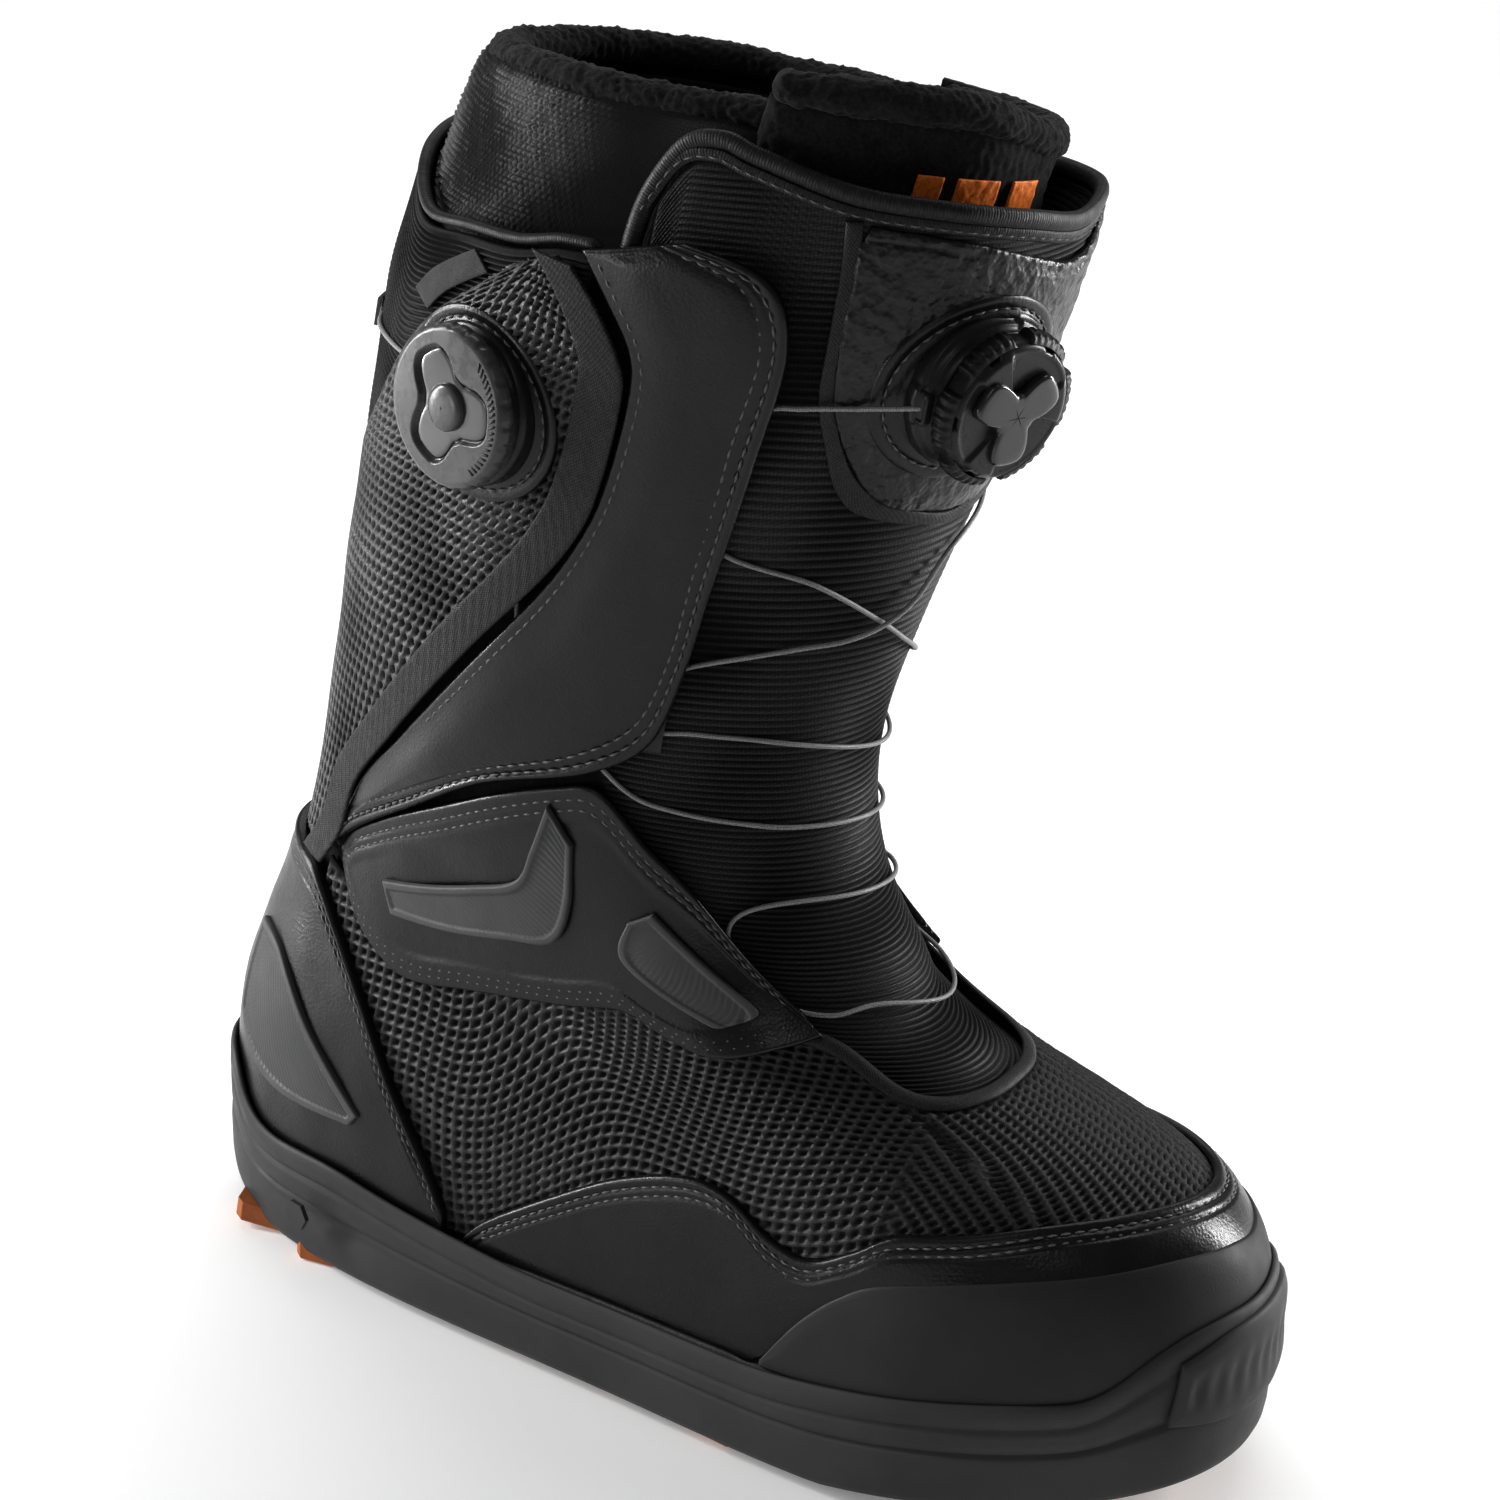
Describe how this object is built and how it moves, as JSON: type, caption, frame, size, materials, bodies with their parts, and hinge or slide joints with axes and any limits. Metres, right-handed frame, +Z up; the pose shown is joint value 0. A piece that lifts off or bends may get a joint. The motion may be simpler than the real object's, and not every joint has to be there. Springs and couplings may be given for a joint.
{
  "type": "snowboard boot",
  "caption": "Right-foot snowboard boot with two dial lacing reels, laced tongue, cuff flaps, removable padded liner and a rubber cupsole with lug inserts.",
  "frame": {"origin": "ground plane under the middle of the sole, on the bottom face of the centre lug", "axes": "+X to the toe, +Y to the medial (inner) side, +Z up the shaft"},
  "size_m": [0.3055, 0.1355, 0.3392],
  "materials": {
    "sole_rubber": "matte moulded rubber",
    "lug_orange": "matte moulded rubber",
    "upper_mesh": "waffle mesh",
    "leather": "semi-gloss grained synthetic leather",
    "leather_pebbled": "pebbled semi-gloss synthetic leather",
    "rand_rubber": "smooth matte rubber",
    "inlay_rubber": "finely ribbed rubber",
    "elastic": "ribbed elastic webbing",
    "spacer_mesh": "open spacer mesh",
    "tape": "woven binding tape",
    "ballistic_weave": "horizontally ribbed weave",
    "lining": "brushed lining",
    "knit": "knobbly knit",
    "fleece": "short pile fleece",
    "foam": "heat-mouldable foam",
    "board": "fibre board",
    "shank_plastic": "glass-filled plastic",
    "dial_plastic": "satin plastic",
    "dial_cap": "glossy plastic",
    "knob_grey": "satin grey plastic",
    "grip_rubber": "soft grip rubber",
    "screw_steel": "steel",
    "lace_braid": "fine braided lace",
    "webbing": "woven webbing",
    "label": "woven label, plain"
  },
  "bodies": {
    "boot": {"outsole": "sole_rubber", "toe_bumper": "sole_rubber", "sole_lugs_orange": "lug_orange", "sole_lugs_black": "sole_rubber", "sole_side_plug": "sole_rubber", "midsole": "foam", "lasting_board": "board", "shank": "shank_plastic", "upper_mesh": "upper_mesh", "mudguard": "leather", "toe_rand": "rand_rubber", "heel_counter": "leather", "heel_inlays": "inlay_rubber", "backstay": "leather", "rear_collar": "elastic", "collar_binding": "tape", "shell_lining": "lining", "side_mesh_lateral": "spacer_mesh", "side_mesh_medial": "spacer_mesh", "side_binding_lateral": "tape", "side_binding_medial": "tape", "lateral_flap": "leather", "medial_flap": "leather", "ankle_panel_lateral": "leather", "ankle_panel_medial": "leather", "ankle_inlays_lateral": "inlay_rubber", "ankle_inlays_medial": "inlay_rubber", "side_label": "label", "tongue": "ballistic_weave", "tongue_binding": "tape", "tongue_patch": "leather_pebbled", "tongue_seam_tape": "tape", "lace_guides_lateral": "webbing", "lace_guides_medial": "webbing", "rear_lace_guide": "webbing", "upper_lace": "lace_braid", "lower_lace": "lace_braid", "heel_harness": "webbing", "front_dial_base": "dial_plastic", "front_dial_screw": "screw_steel", "side_dial_base": "dial_plastic", "side_dial_screw": "screw_steel", "liner_sole": "foam", "liner_foot": "foam", "liner_shaft": "foam", "liner_front_wrap": "knit", "liner_lining": "fleece", "liner_rim": "fleece", "liner_rear_cuff": "knit", "footbed": "foam"},
    "front_spool": {"front_dial_spool": "dial_plastic"},
    "front_knob": {"front_knob": "dial_plastic", "front_knob_grips": "grip_rubber", "front_knob_cap": "dial_cap"},
    "side_spool": {"side_dial_spool": "dial_plastic"},
    "side_knob": {"side_knob": "knob_grey", "side_knob_trim": "dial_cap"}
  },
  "joints": [
    {"name": "front_dial_turn", "type": "hinge", "parent": "boot", "child": "front_spool", "pos_m": [0.0653, -0.0207, 0.2759], "axis": [0.9095, -0.3699, -0.19], "continuous": true},
    {"name": "front_knob_pull", "type": "slide", "parent": "front_spool", "child": "front_knob", "axis": [0.9095, -0.3699, -0.19], "range_m": [0, 0.003]},
    {"name": "side_dial_turn", "type": "hinge", "parent": "boot", "child": "side_spool", "pos_m": [-0.0429, -0.0589, 0.2606], "axis": [-0.2504, -0.9668, 0.0501], "continuous": true},
    {"name": "side_knob_pull", "type": "slide", "parent": "side_spool", "child": "side_knob", "axis": [-0.2504, -0.9668, 0.0501], "range_m": [0, 0.003]}
  ]
}
